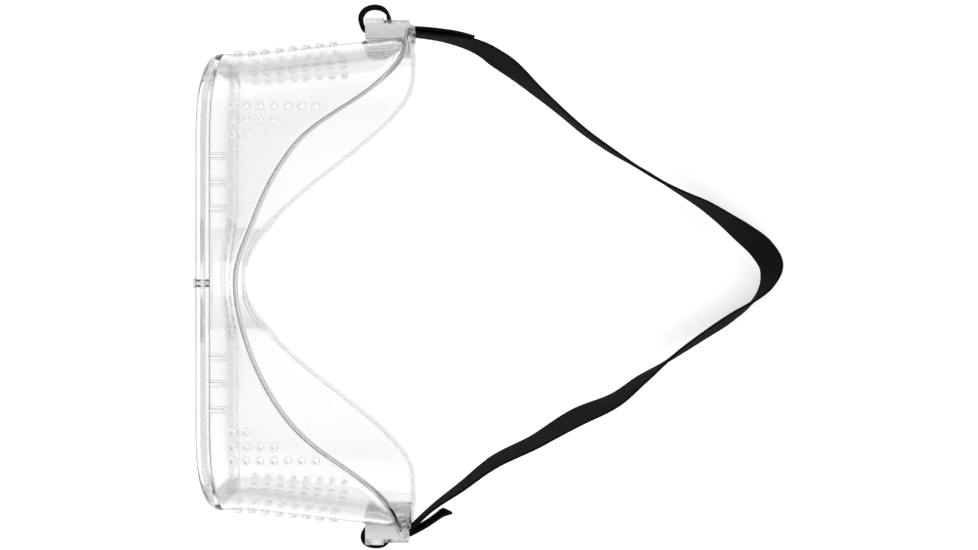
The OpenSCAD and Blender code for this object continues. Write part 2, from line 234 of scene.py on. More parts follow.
def lathe(name, base, axis, profile, count):
    """A turned solid: profile is (radius, height along axis) pairs from one pole to the other."""
    axis = np.array(axis, float) / np.linalg.norm(axis)
    side = np.cross(axis, [0.0, 1.0, 0.0] if abs(axis[1]) < 0.9 else [1.0, 0.0, 0.0])
    side /= np.linalg.norm(side)
    other = np.cross(axis, side)
    a = np.arange(count) * 2 * math.pi / count
    spokes = np.outer(np.cos(a), side) + np.outer(np.sin(a), other)
    points, faces = [np.array(base) + axis * profile[0][1]], []
    for radius, height in profile[1:-1]:
        points += list(np.array(base) + axis * height + spokes * radius)
    points.append(np.array(base) + axis * profile[-1][1])
    rings = len(profile) - 2
    top = 1 + (rings - 1) * count
    for i in range(count):
        j = (i + 1) % count
        faces.append((0, 1 + j, 1 + i))
        faces.append((len(points) - 1, top + i, top + j))
        for r in range(rings - 1):
            a0, b0 = 1 + r * count, 1 + (r + 1) * count
            faces.append((a0 + i, a0 + j, b0 + j, b0 + i))
    return face_outward(mesh_object(name, points, faces))


def joined(objects):
    """One object made of several."""
    first = objects[0]
    bm = bmesh.new()
    for o in objects:
        bm.from_mesh(o.data)
    bm.to_mesh(first.data)
    bm.free()
    for o in objects[1:]:
        bpy.data.objects.remove(o)
    return first


def modified_mesh(obj):
    """The object's mesh with its modifiers applied."""
    return bpy.data.meshes.new_from_object(obj.evaluated_get(bpy.context.evaluated_depsgraph_get()))


def boolean(target, tool, operation):
    """Applies a boolean to target and removes the tool."""
    m = target.modifiers.new("boolean", "BOOLEAN")
    m.operation, m.object, m.solver = operation, tool, "MANIFOLD"
    result = modified_mesh(target)
    if len(result.polygons) < 4:
        m.solver = "EXACT"
        result = modified_mesh(target)
    target.modifiers.clear()
    target.data = result
    bpy.data.objects.remove(tool)


def crisp(obj, degrees):
    """Smooth shading with sharp edges above an angle."""
    obj.data.shade_smooth()
    obj.data.set_sharp_from_angle(angle=math.radians(degrees))
    return obj


# ---------- front outline ----------

# the nose arch: half its width on the resting plane, its crown's centre and radius, the radius that it
# starts with, and the angle at which the crown's arc meets the arch's straight side
FOOT_X, CROWN_Z, CROWN_R, FOOT_R = 23.0, 10.0, 10.0, 7.5
TOUCH = math.acos(CROWN_R / math.hypot(FOOT_X, CROWN_Z)) - math.atan2(CROWN_Z, FOOT_X)
# samples along the top, upper corner, side, lower corner, bottom, arch foot, arch side and crown
SEGMENTS = [44, 16, 18, 16, 30, 8, 8, 10]


def half_outline(half_w, top, bottom, radius, foot_r, top_radius=None):
    """One half of the outline seen from the front, from the top's middle round to the crown's middle.

    Each sample is x, z and the outward normal. The sizes may be arrays with one value per sample.
    """
    count = sum(SEGMENTS) + 1
    top_radius = radius if top_radius is None else top_radius
    sizes = (half_w, top, bottom, radius, top_radius)
    half_w, top, bottom, radius, top_radius = (np.broadcast_to(np.asarray(v, float), count) for v in sizes)
    out = np.zeros((count, 4))
    side = np.array([math.cos(TOUCH), math.sin(TOUCH)])
    quarter = math.pi / 2
    start = 0
    for k, n in enumerate(SEGMENTS):
        i = slice(start, start + n + (k == len(SEGMENTS) - 1))
        t = np.arange(i.stop - i.start) / n
        w, hi, lo, r, tr = half_w[i], top[i], bottom[i], radius[i], top_radius[i]
        foot = FOOT_X * (1 - lo / (CROWN_Z + CROWN_R / math.sin(TOUCH)))
        foot_c = foot + foot_r * (1 - side[1]) / side[0]
        if k == 0:
            x, z, nx, nz = t * (w - tr), hi, 0 * t, 1 + 0 * t
        elif k == 1:
            nx, nz = np.sin(t * quarter), np.cos(t * quarter)
            x, z = w - tr + tr * nx, hi - tr + tr * nz
        elif k == 2:
            x, z, nx, nz = w, (hi - tr) * (1 - t) + (lo + r) * t, 1 + 0 * t, 0 * t
        elif k == 3:
            nx, nz = np.cos(t * quarter), -np.sin(t * quarter)
            x, z = w - r + r * nx, lo + r + r * nz
        elif k == 4:
            x, z, nx, nz = (w - r) * (1 - t) + foot_c * t, lo, 0 * t, -1 + 0 * t
        elif k == 5:
            a = -quarter - t * (quarter - TOUCH)
            nx, nz = np.cos(a), np.sin(a)
            x, z = foot_c + foot_r * nx, lo + foot_r + foot_r * nz
        elif k == 6:
            x0, z0 = foot_c - foot_r * side[0], lo + foot_r - foot_r * side[1]
            x1, z1 = CROWN_R * side[0], CROWN_Z + CROWN_R * side[1]
            x, z = x0 * (1 - t) + x1 * t, z0 * (1 - t) + z1 * t
            nx, nz = -side[0] + 0 * t, -side[1] + 0 * t
        else:
            a = TOUCH + t * (quarter - TOUCH)
            nx, nz = -np.cos(a), -np.sin(a)
            x, z = -CROWN_R * nx, CROWN_Z - CROWN_R * nz
        out[i] = np.column_stack(np.broadcast_arrays(x, z, nx, nz))
        start += n
    return out


def whole(half, other=None):
    """An outline's half where x is positive, and its other half mirrored, as one clockwise loop."""
    left = (half if other is None else other)[-2:0:-1].copy()
    left[:, 0] *= -1
    left[:, 2] *= -1
    return np.vstack([half, left])


# ---------- body shell ----------

WALL = 1.6
LIP = 0.72  # how thick the sealing lip is for its width
WALL_START, WALL_RUN = 4.0, 75.0  # the walls' front end, and how far back from it they reach at most
HALF_H, CORNER, SWELL = 37.5, 19.5, 1.5  # half height and corner radius in front, and how much both grow

# depth of the face edge across x, along the forehead and along the cheeks
forehead = chain(
    cubic([0, 14.7], [18, 14.7], [38, 24], [50, 34.5]),
    cubic([50, 34.5], [62, 45], [66, 59], [78, 67.5]),
    cubic([78, 67.5], [81, 69.4], [86, 71.3], [93, 73.4]),
)
cheek = chain(
    cubic([0, 10.5], [9, 10.5], [14, 12], [21, 18.4]),
    cubic([21, 18.4], [38, 33], [54, 62], [70, 72]),
    cubic([70, 72], [75, 75], [84, 75], [93, 75]),
)


def half_width(d):
    """Half the body's width at depth d; it swells to meet the rim's side."""
    return 81.0 + 8.0 * (d - WALL_START) / WALL_RUN + 1.3 * (1 - smooth(5.0, 17.0, d))


def grown(size, d):
    """The body's half height or corner radius at depth d; size is its value at the walls' front end."""
    return size + SWELL * ((d - WALL_START) / WALL_RUN)


def body_outline(d):
    """Half of the body's outline where each sample has its own depth."""
    half_h = grown(HALF_H, d)
    top_r = CORNER - 2.0 * np.clip((d - 15) / 50, 0, 1)
    return half_outline(half_width(d), MID_Z + half_h, MID_Z - half_h, grown(CORNER, d), FOOT_R, top_r)


def back_edge(deeper, temple):
    """Depth of the face edge at each sample of one half.

    The forehead side may sit a little deeper than its curve, all along or at the temple only. The outline
    depends on the depth in turn, so the two are settled together.
    """
    d = np.full(sum(SEGMENTS) + 1, 40.0)
    for _ in range(12):
        o = body_outline(d)
        upper = np.interp(o[:, 0], forehead[:, 0], forehead[:, 1])
        more = deeper * smooth(2, 24, o[:, 0]) + temple * smooth(48, 66, o[:, 0])
        upper = upper + more * (1 - smooth(80, 98, o[:, 0]))
        # the temple's upper corner is rounded off as seen from the side
        upper = upper + 2.2 * smooth(84, 88.4, o[:, 0]) * (1 - smooth(55, 67, o[:, 1]))
        lower = np.interp(o[:, 0], cheek[:, 0], cheek[:, 1])
        w = smooth(30, 50, o[:, 1])
        d = d * 0.4 + 0.6 * (lower * (1 - w) + upper * w)
    return d


def build_shell():
    """The walls and their sealing lip as one skin. Returns it with the points of the lip."""
    # (distance before the edge, distance outward) round the lip, from the wall's outer to its inner face
    flange = [
        (3.0, 0.0), (2.4, 0.08), (2.0, 0.35), (1.75, 0.9), (1.62, 1.5), (1.45, 1.95), (1.15, 2.2),
        (0.8, 2.28), (0.4, 2.15), (0.12, 1.8), (0.0, 1.2), (0.0, 0.2), (0.0, -0.8), (0.04, -1.8),
        (0.25, -2.45), (0.65, -2.72), (1.1, -2.6), (1.5, -2.2), (2.0, -1.82), (2.8, -1.62),
    ]
    flange = [(s * LIP, n) for s, n in flange]
    wall = np.linspace(0, 1, 18)[:-1]
    rows = [("wall", t, 0.0) for t in wall] + [("edge", s, n) for s, n in flange]
    rows += [("wall", t, -WALL) for t in wall[::-1]]
    halves = []
    # the soft body has settled a little deeper on the wearer's right
    for deeper, temple in ((0.4, 0.0), (2.4, 2.0)):
        edge = back_edge(deeper, temple)
        outline = body_outline(edge)
        run = np.hypot(np.gradient(outline[:, 0]), np.gradient(outline[:, 1]))
        stretch = np.clip(np.sqrt(1 + (np.gradient(edge) / np.maximum(run, 1e-6)) ** 2), 1, 2.2)
        front = sag(outline[:, 0]) + 4.2
        halves.append((edge, stretch, front))
    rings = []
    for kind, a, n in rows:
        sides = []
        for edge, stretch, front in halves:
            last = edge - flange[0][0] * stretch
            d = np.maximum(front + (last - front) * a if kind == "wall" else edge - a * stretch, front)
            sides.append(np.column_stack([body_outline(d), d]))
        o = whole(*sides)
        # above the buckles the lip flares outward
        near_edge = 1 - a / flange[0][0] if kind == "edge" else 0.0
        out = n + 2.3 * near_edge * smooth(64, 72, o[:, 4]) * smooth(53.5, 58, o[:, 1]) * np.abs(o[:, 2])
        z = np.maximum(o[:, 1] + n * o[:, 3], 0.02)
        rings.append(np.column_stack([o[:, 0] + out * o[:, 2], o[:, 4], z]))
    lip = np.vstack([r for r, (kind, a, n) in zip(rings, rows) if kind == "edge" and a < 1.5])
    return tube("goggle_body", rings), lip


def mark_lip(obj, lip):
    """Marks the sealing lip's vertices, where its material paints shade a little darker than on the thin
    walls.
    """
    tree = KDTree(len(lip))
    for i, point in enumerate(world(lip)):
        tree.insert(point, i)
    tree.balance()
    layer = obj.data.attributes.new("lip", "FLOAT", "POINT")
    marks = [float(tree.find(v.co)[2] < 0.06 * MM) for v in obj.data.vertices]
    layer.data.foreach_set("value", marks)


def build_rim():
    """The rim: a U-grooved strip swept round the front outline."""
    o = whole(half_outline(RIM_HALF, HEIGHT, 0.0, RIM_R, FOOT_R))
    # (distance in from the outline, distance back) round the strip: the rounded front edge, then the groove
    rings = []
    edge_r = 1.2 + 3.3 * o[:, 2] ** 2
    for a in np.linspace(0, math.pi / 2, 8):
        rings.append((edge_r * (1 - math.cos(a)), edge_r * (1 - math.sin(a))))
    strip = [
        (5.2, 0.0), (5.5, 0.12), (5.6, 0.4), (5.6, 1.3), (5.5, 1.54), (5.2, 1.6), (2.1, 1.6),
        (2.0, 1.7), (2.0, 3.3), (2.1, 3.4), (5.2, 3.4), (5.5, 3.46), (5.6, 3.7), (5.6, 4.6),
        (5.5, 4.9), (5.2, 5.0), (0.5, 5.0), (0.15, 4.85), (0.0, 4.5),
    ]
    rings += [(np.full(len(o), n), np.full(len(o), q)) for n, q in strip]
    out = []
    for n, q in rings:
        x, z = o[:, 0] - n * o[:, 2], o[:, 1] - n * o[:, 3]
        out.append(np.column_stack([x, sag(x) + q, z]))
    return tube("rim", out)


VENT_PITCH, VENT_FIRST, VENT_R = 4.9, 12.8, 0.8
SIDE_VENTS = 8  # vents per row on the side and round its lower corner
SIDE_Z, SIDE_STEP, CORNER_STEP = 50.0, 5.5, 17.5  # lowest row's height; spacing in mm and in degrees
FLAT_VENTS = ((62.5, 7), (57.5, 4), (52.5, 2))  # x and number of vents per row on the top and the bottom
# a vent's raised edge: (distance from its middle, height above the wall)
COLLAR = [(0, -0.7), (1.55, -0.7), (1.55, 0.25), (1.48, 0.6), (1.3, 0.82), (1.0, 0.92), (0, 0.92)]


def vents():
    """Every vent on the half where x is positive: a point on the outer surface and the direction outward."""
    found = []
    hub = np.array([60.0, RIM_R])
    for c in range(SIDE_VENTS):
        d = VENT_FIRST + c * VENT_PITCH
        w, r = float(half_width(d)), grown(CORNER, d)
        bottom = SWELL * (1 - (d - WALL_START) / WALL_RUN)
        corner = np.array([w - r, bottom + r])
        for k in range(3):
            found.append(((w, d, SIDE_Z + SIDE_STEP * k), (1.0, 0.0, 0.0)))
            tilt = math.radians(CORNER_STEP * k)
            ray = np.array([math.cos(tilt), -math.sin(tilt)])
            off = hub - corner
            p = hub + (-off @ ray + math.sqrt((off @ ray) ** 2 - off @ off + r * r)) * ray
            found.append(((p[0], d, p[1]), (ray[0], 0.0, ray[1])))
    for x, count in FLAT_VENTS:
        for c in range(count):
            d = VENT_FIRST + c * VENT_PITCH
            half_h = grown(HALF_H, d)
            found.append(((x, d, MID_Z + half_h), (0.0, 0.0, 1.0)))
            found.append(((x, d, MID_Z - half_h), (0.0, 0.0, -1.0)))
    return found


def both_sides(items):
    """Points with directions, each followed by its mirror image."""
    for (x, d, z), (ax, ay, az) in items:
        for s in (1, -1):
            yield np.array([s * x, d, z]), np.array([s * ax, ay, az])


def block_pair(name, low, high, bevel):
    """A rounded block and its mirror image as one object."""
    mirrored = np.array([-high[0], low[1], low[2]]), np.array([-low[0], high[1], high[2]])
    return joined([block(name, np.array(low), np.array(high), bevel), block(name, *mirrored, bevel)])


def rod_profile(radius, start, end):
    """The profile of a plain round rod between two heights."""
    return [(0, start), (radius, start), (radius, end), (0, end)]


# low and high corners: the room that a buckle needs in the wall, and the ear that it grips
ROOM = [82.7, CLIP_FRONT, STRAP_Z - 10.9], [98.0, 90.0, STRAP_Z + 10.9]
EAR = [84.9, CLIP_FRONT - 0.5, 32.0], [EAR_OUT, 72.9, 52.0]
# the ribs between rim and brow: the first one's x, their spacing and number, and the shape of each
RIB_FIRST, RIB_PITCH, RIB_COUNT = 26.3, 9.25, 3
RIB_SHAPE = dict(foot=1.35, top=0.5, y0=4.4, y1=10.4, z0=75.3, z1=78.0)


def build_body():
    """The soft body: shell, rim, ears, ribs, vents with their collars, and the stud's hole."""
    body, lip = build_shell()
    boolean(body, block_pair("room", *ROOM, 0.8), "DIFFERENCE")
    boolean(body, build_rim(), "UNION")
    boolean(body, block_pair("ear", *EAR, 0.7), "UNION")
    ribs = []
    for s in (1, -1):
        for i in range(RIB_COUNT):
            ribs.append(wedge("rib", s * (RIB_FIRST + RIB_PITCH * i), **RIB_SHAPE))
    boolean(body, joined(ribs), "UNION")
    collars, drills = [], []
    for base, axis in both_sides(vents()):
        # the vents underneath have no collars, so that the goggles stand on their walls
        if axis[2] > -0.9:
            collars.append(lathe("collar", base, axis, COLLAR, 20))
        drills.append(lathe("drill", base, axis, rod_profile(VENT_R, -4, 3), 16))
    boolean(body, joined(collars), "UNION")
    boolean(body, joined(drills), "DIFFERENCE")
    boolean(body, lathe("stud_hole", [0, -1, STUD_Z], [0, 1, 0], rod_profile(1.42, 0, 5.5), 24), "DIFFERENCE")
    mark_lip(body, lip)
    return crisp(body, 33)


# ---------- lens and stud ----------


def build_lens():
    """A flat sheet with swept-back ends that follows the rim's groove."""
    o = half_outline(RIM_HALF, HEIGHT, 0.0, RIM_R, FOOT_R)
    inset = RIM_HALF - LENS_HALF
    x, z = o[:, 0] - inset * o[:, 2], o[:, 1] - inset * o[:, 3]
    split = SEGMENTS[0] + SEGMENTS[1] + SEGMENTS[2] // 2
    top_x, top_z = x[: split + 1], z[: split + 1]
    low_x, low_z = x[split:][::-1], z[split:][::-1]
    corner_r = RIM_R - inset
    corner = LENS_HALF - corner_r
    turn = np.linspace(0, 1, 20)[1:] * math.pi / 2
    xs = np.concatenate([np.linspace(0, corner, 66), corner + corner_r * np.sin(turn)])
    xs = np.concatenate([-xs[:0:-1], xs])
    hi = np.interp(np.abs(xs), top_x, top_z)
    lo = np.interp(np.abs(xs), low_x, low_z)
    rows = 14
    points, faces = [], []
    for q in (LENS_FRONT, LENS_BACK):
        for r in range(rows + 1):
            t = r / rows
            points.append(np.column_stack([xs, sag(xs) + q, lo * (1 - t) + hi * t]))
    n = len(xs)
    points = np.vstack(points)
    back = (rows + 1) * n
    for r in range(rows):
        for i in range(n - 1):
            a, b = r * n + i, (r + 1) * n + i
            faces.append((a, a + 1, b + 1, b))
            faces.append((back + a, back + b, back + b + 1, back + a + 1))
    for i in range(n - 1):
        top = rows * n + i
        faces.append((i, back + i, back + i + 1, i + 1))
        faces.append((top, top + 1, back + top + 1, back + top))
    for r in range(rows):
        for i in (0, n - 1):
            a, b = r * n + i, (r + 1) * n + i
            faces.append((a, b, back + b, back + a) if i == 0 else (a, back + a, back + b, b))
    lens = face_outward(mesh_object("lens_sheet", points, faces))
    notch = block("notch", [-1.5, -1, STUD_Z - 1.5], [1.5, 8, HEIGHT + 1], 0)
    boolean(lens, notch, "DIFFERENCE")
    bevel = lens.modifiers.new("edge", "BEVEL")
    bevel.width, bevel.segments = 0.3 * MM, 2
    bevel.limit_method, bevel.angle_limit = "ANGLE", math.radians(60)
    lens.data = modified_mesh(lens)
    lens.modifiers.clear()
    return crisp(lens, 40)


def build_stud():
    """The push-in stud: a domed head and a plain shank with a rounded tip."""
    head, tip = stud_low[1], stud_high[1]
    profile = [
        (0, head), (0.9, head + 0.03), (1.6, head + 0.15), (2.05, head + 0.4), (2.28, head + 0.8),
        (2.3, -0.12), (2.2, 0.0), (1.42, 0.0), (1.3, 0.15), (1.3, tip - 0.5), (1.05, tip - 0.12), (0, tip),
    ]
    return crisp(lathe("lock_stud", [0, 0, STUD_Z], [0, 1, 0], profile, 40), 50)


# ---------- webbing ----------

CORDS, CORD_H = 13, 0.06  # the elastic's lengthwise ribs, and how far they stand up either way


def webbing_section():
    """The cross-section (across the width, through the thickness) with lengthwise ribs and soft edges."""
    half_t = STRAP_T / 2
    flat = STRAP_W / 2 - half_t
    across = np.linspace(-1, 1, CORDS * 4 + 1)
    cord = CORD_H * np.cos(across * math.pi * CORDS) - CORD_H
    face = np.column_stack([across * flat, half_t + cord])
    turn = np.linspace(0, math.pi, 8)[1:-1]
    end = np.column_stack([flat + np.sin(turn) * half_t, np.cos(turn) * (half_t - CORD_H)])
    return np.vstack([face, end, -face, -end])


def travelled(path):
    """Length along a path from its start to each of its points."""
    return np.concatenate([[0], np.cumsum(np.linalg.norm(np.diff(path, axis=0), axis=1))])


def unit(rows):
    """Each row scaled to length 1."""
    return rows / np.linalg.norm(rows, axis=1)[:, None]


def webbing(name, centre, width_dir, slant=0.0):
    """Webbing swept along centre, its width along width_dir at each point, its end cut square or slanted."""
    centre, width_dir = np.asarray(centre, float), np.asarray(width_dir, float)
    section = webbing_section()
    along = unit(np.gradient(centre, axis=0))
    w = unit(width_dir - (width_dir * along).sum(1)[:, None] * along)
    out = np.cross(w, along)
    rings = centre[:, None] + section[None, :, :1] * w[:, None] + section[None, :, 1:] * out[:, None]
    sheared = slant / STRAP_W * np.linspace(0, 1, len(centre))[:, None, None] ** 2
    rings = rings + sheared * section[None, :, :1] * along[:, None]
    r, n = rings.shape[:2]
    faces = ring_faces(r, n, False)
    faces.append(tuple(range(n - 1, -1, -1)))
    faces.append(tuple((r - 1) * n + i for i in range(n)))
    length = travelled(centre)
    uv = np.stack(np.broadcast_arrays(length[:, None] * MM, section[None, :, 0] * MM), -1).reshape(-1, 2)
    return crisp(face_outward(mesh_object(name, rings.reshape(-1, 3), faces, uv)), 60)


def spline(keys, values, step=1.0):
    """Smooth curve through rows of values at increasing keys, sampled about every step."""
    keys, values = np.asarray(keys, float), np.asarray(values, float)
    slope = np.gradient(values, keys, axis=0)
    at = np.linspace(keys[0], keys[-1], max(int((keys[-1] - keys[0]) / step), 2) + 1)
    k = np.clip(np.searchsorted(keys, at, side="right") - 1, 0, len(keys) - 2)
    h = (keys[k + 1] - keys[k])[:, None]
    t = (at - keys[k])[:, None] / h
    return (
        (2 * t**3 - 3 * t**2 + 1) * values[k]
        + (t**3 - 2 * t**2 + t) * h * slope[k]
        + (-2 * t**3 + 3 * t**2) * values[k + 1]
        + (t**3 - t**2) * h * slope[k + 1]
    )


# plan of the slack band from the right buckle round the back to the left one: x, depth, and the degrees by
# which its top edge leans outward
BAND = [
    (-91.3, 74.5, 0), (-89.8, 86, 3), (-86.9, 98, 13), (-81.3, 107.7, 21), (-70.7, 121, 10),
    (-62.2, 131.6, 4), (-55.6, 140, 3), (-49.3, 149.4, 1), (-38.8, 167.5, -5), (-33.6, 177, 1),
    (-28.5, 186.6, 10), (-22.8, 195, 18), (-17.5, 202, 27), (-11.5, 208.9, 32), (-5.2, 212.6, 30),
    (2, 211.2, 12), (9.6, 205.0, -7), (14.6, 198, -15), (22.3, 186, -14.5), (31.8, 171.6, -6),
    (38.3, 162, 7), (45, 152.9, 13), (52.2, 136.2, 20), (59.8, 121.7, 13), (68.4, 103.2, 10),
    (75.6, 93.9, 6), (84.8, 81.4, 0), (91.3, 74.5, 0),
]


def band_height(depth):
    """Height of the band's centre line: level at the buckles, down on the resting plane at the back."""
    curve = chain(
        np.array([[MOUTH, STRAP_Z], [NECK_END + 4, STRAP_Z]]),
        cubic([NECK_END + 4, STRAP_Z], [NECK_END + 30, STRAP_Z - 8], [154, 8.0], [BAND_BACK, 7.6]),
    )
    return np.interp(depth, curve[:, 0], curve[:, 1])


def band_path():
    """The band's centre line and the direction of its width at each point."""
    keys = np.array(BAND, float)
    p = spline(travelled(keys[:, :2]), keys, 0.9)
    lean = np.radians(p[:, 2])
    lowest = STRAP_W / 2 * np.cos(lean) + STRAP_T / 2 * np.abs(np.sin(lean)) + 0.1
    z = np.maximum(band_height(p[:, 1]), lowest)
    centre = np.column_stack([p[:, 0], p[:, 1], z])
    along = unit(np.gradient(centre, axis=0))
    out = unit(np.cross([0, 0, 1.0], along))
    up = np.cross(along, out)
    return centre, up * np.cos(lean)[:, None] + out * np.sin(lean)[:, None]


def loop_path(snug):
    """Plan of the webbing through a buckle, on the side where x is positive, from the mouth and back to it.

    It turns round the buckle's front bar, either snugly or in a wider ring.
    """
    front, out = CLIP_FRONT, PLATE_OUT
    keys = [(MAIN_X, MOUTH), (MAIN_X, MOUTH - 5), (MAIN_X, MOUTH - 10)]
    if snug:
        keys += [
            (MAIN_X, front + 1.6), (MAIN_X + 0.5, front - 0.5), (MAIN_X + 2.3, front - 1.3),
            (out - 0.4, front - 1.0), (out + 1.0, front + 0.4), (out + 1.5, front + 2.6),
            (out + 1.4, front + 4.8), (out + 0.9, front + 6.5), (out, front + 7.6),
        ]
    else:
        keys += [
            (MAIN_X, front + 1.4), (MAIN_X + 1.1, front - 0.7), (MAIN_X + 3.4, front - 1.8),
            (out + 1.1, front - 2.2), (out + 3.8, front - 0.7), (out + 5.0, front + 2.9),
            (out + 4.0, front + 6.4), (out + 2.0, front + 8.0), (out + 0.3, front + 8.2),
        ]
    keys += [(out - 1.2, front + 8.5), (TAIL_X + 0.4, front + 9.6), (TAIL_X, front + 11.3)]
    keys = np.array(keys + [(TAIL_X, MOUTH)], float)
    return spline(travelled(keys), keys, 0.3)


def resample(path, step):
    """The same path with points about every step."""
    gone = travelled(path)
    at = np.linspace(0, gone[-1], int(gone[-1] / step) + 1)
    return np.column_stack([np.interp(at, gone, path[:, k]) for k in range(path.shape[1])])


def level(plan):
    """A plan path at the buckles' height, with the webbing upright."""
    n = len(plan)
    return np.column_stack([plan, np.full(n, STRAP_Z)]), np.tile([0.0, 0.0, 1.0], (n, 1))


# ---------- materials ----------

WHITE = (1.0, 1.0, 1.0, 1.0)


def nodes_of(name):
    """A new material and its empty node tree."""
    m = bpy.data.materials.new(name)
    m.use_nodes = True
    m.node_tree.nodes.clear()
    return m, m.node_tree


def add(tree, kind, inputs=None, **props):
    """A new node; each input is a value or another node's output."""
    node = tree.nodes.new(kind)
    for k, v in props.items():
        setattr(node, k, v)
    for k, v in (inputs or {}).items():
        if isinstance(v, bpy.types.NodeSocket):
            tree.links.new(v, node.inputs[k])
        else:
            node.inputs[k].default_value = v
    return node


def calc(tree, operation, *values):
    """The result of a maths node."""
    return add(tree, "ShaderNodeMath", dict(enumerate(values)), operation=operation).outputs[0]


def fade(tree, value, start, end, low=0.0, high=1.0):
    """low where value is at start, high where it is at end, and held beyond them."""
    inputs = {"Value": value, "From Min": start, "From Max": end, "To Min": low, "To Max": high}
    return add(tree, "ShaderNodeMapRange", inputs).outputs[0]


def tone_mix(tree, factor, first, second):
    """A colour between two others."""
    return add(tree, "ShaderNodeMix", {0: factor, 6: first, 7: second}, data_type="RGBA").outputs[2]


def shader_mix(tree, factor, first, second):
    """The first shader where factor is 0 and the second where it is 1."""
    return add(tree, "ShaderNodeMixShader", {0: factor, 1: first, 2: second}).outputs[0]


def noise(tree, place, scale, detail=2.0):
    """Smooth noise between 0 and 1."""
    inputs = {"Vector": place, "Scale": scale, "Detail": detail}
    return add(tree, "ShaderNodeTexNoise", inputs).outputs["Fac"]


def bump(tree, height, strength, distance):
    """A surface normal that height has roughened."""
    inputs = {"Height": height, "Strength": strength, "Distance": distance}
    return add(tree, "ShaderNodeBump", inputs).outputs[0]


def facing_away(tree, blend):
    """0 where a surface faces the viewer and 1 where it is seen edge-on."""
    return add(tree, "ShaderNodeLayerWeight", {"Blend": blend}).outputs["Facing"]


def painted_edge_shade_share(t, x_y_z, steepness):
    """How strongly clear plastic takes the painted shade that darkens walls seen edge-on and the lip.

    It is less near the floor, and more along the top and along the front rim.
    """
    raised = fade(t, x_y_z[2], 12 * MM, 40 * MM, 0.25)
    crest = fade(t, x_y_z[2], 71.5 * MM, 75.5 * MM, 1.0, 8.0)
    front = fade(t, x_y_z[1], (RIM_FRONT + 5) * MM, (RIM_FRONT + 3) * MM, 1.0, 5.0)
    steep = calc(t, "POWER", facing_away(t, 0.5), steepness)
    for factor in (raised, crest, front):
        steep = calc(t, "MULTIPLY", steep, factor)
    # painted shade: the lip is drawn about half as dark as a wall seen edge-on
    lip = add(t, "ShaderNodeAttribute", attribute_name="lip").outputs["Fac"]
    lip = calc(t, "MULTIPLY", calc(t, "MULTIPLY", lip, raised), 0.52)
    return calc(t, "MAXIMUM", steep, lip)


def clear_material(name, edge_shade, grey, absorb, rough, ior, bump_strength, steepness, film_nm=0.0):
    """Clear plastic: it refracts to the camera, and lets shadow and diffuse rays through to the floor.

    Seen edge-on it is darkened with painted shade, or takes the grey where it is see-through, and light that
    has bounced about inside for long comes out as a painted pale glow. absorb is the absorption per metre in
    red, green and blue, and film_nm how thick the film is that shows on the parts swept back at the sides.
    """
    m, t = nodes_of(name)
    place = add(t, "ShaderNodeTexCoord").outputs["Object"]
    x_y_z = add(t, "ShaderNodeSeparateXYZ", {0: place}).outputs
    grain = noise(t, place, 900.0, 3.0)
    waves = calc(t, "MULTIPLY_ADD", noise(t, place, 38.0), grain, calc(t, "MULTIPLY", grain, 0.04))
    # painted shade: walls seen edge-on, the lip, the top and the front rim are coloured darker
    edge = tone_mix(t, painted_edge_shade_share(t, x_y_z, steepness), WHITE, edge_shade)
    film = fade(t, calc(t, "ABSOLUTE", x_y_z[0]), 56 * MM, 66 * MM, 0.0, film_nm)
    glass = add(t, "ShaderNodeBsdfPrincipled", {
        "Base Color": edge, "Roughness": fade(t, grain, 0.45, 0.75, 0.0, rough), "IOR": ior,
        "Transmission Weight": 1.0, "Thin Film Thickness": film, "Thin Film IOR": 1.36,
        "Normal": bump(t, waves, bump_strength, 0.6 * MM)}).outputs[0]
    shade = tone_mix(t, facing_away(t, 0.35), (0.985, 0.985, 0.985, 1), grey)
    clear = add(t, "ShaderNodeBsdfTransparent", {"Color": shade}).outputs[0]
    # painted light: rays that have bounced more than nine times end in this pale glow
    pale = add(t, "ShaderNodeEmission", {"Color": (0.97, 0.96, 0.97, 1), "Strength": 1.0}).outputs[0]
    path = add(t, "ShaderNodeLightPath").outputs
    through = calc(t, "MAXIMUM", path["Is Shadow Ray"], path["Is Diffuse Ray"])
    look = shader_mix(t, through, glass, clear)
    look = shader_mix(t, calc(t, "GREATER_THAN", path["Ray Depth"], 9.0), look, pale)
    # what stands near the floor is seen through everything above it, so it is drawn fainter
    look = shader_mix(t, fade(t, x_y_z[2], 10 * MM, 34 * MM, 0.55, 0.0), look, clear)
    density = max(absorb) * 1.25
    colour = tuple(1 - a / density for a in absorb) + (1,)
    volume = add(t, "ShaderNodeVolumeAbsorption", {"Color": colour, "Density": density}).outputs[0]
    add(t, "ShaderNodeOutputMaterial", {"Surface": look, "Volume": volume})
    return m


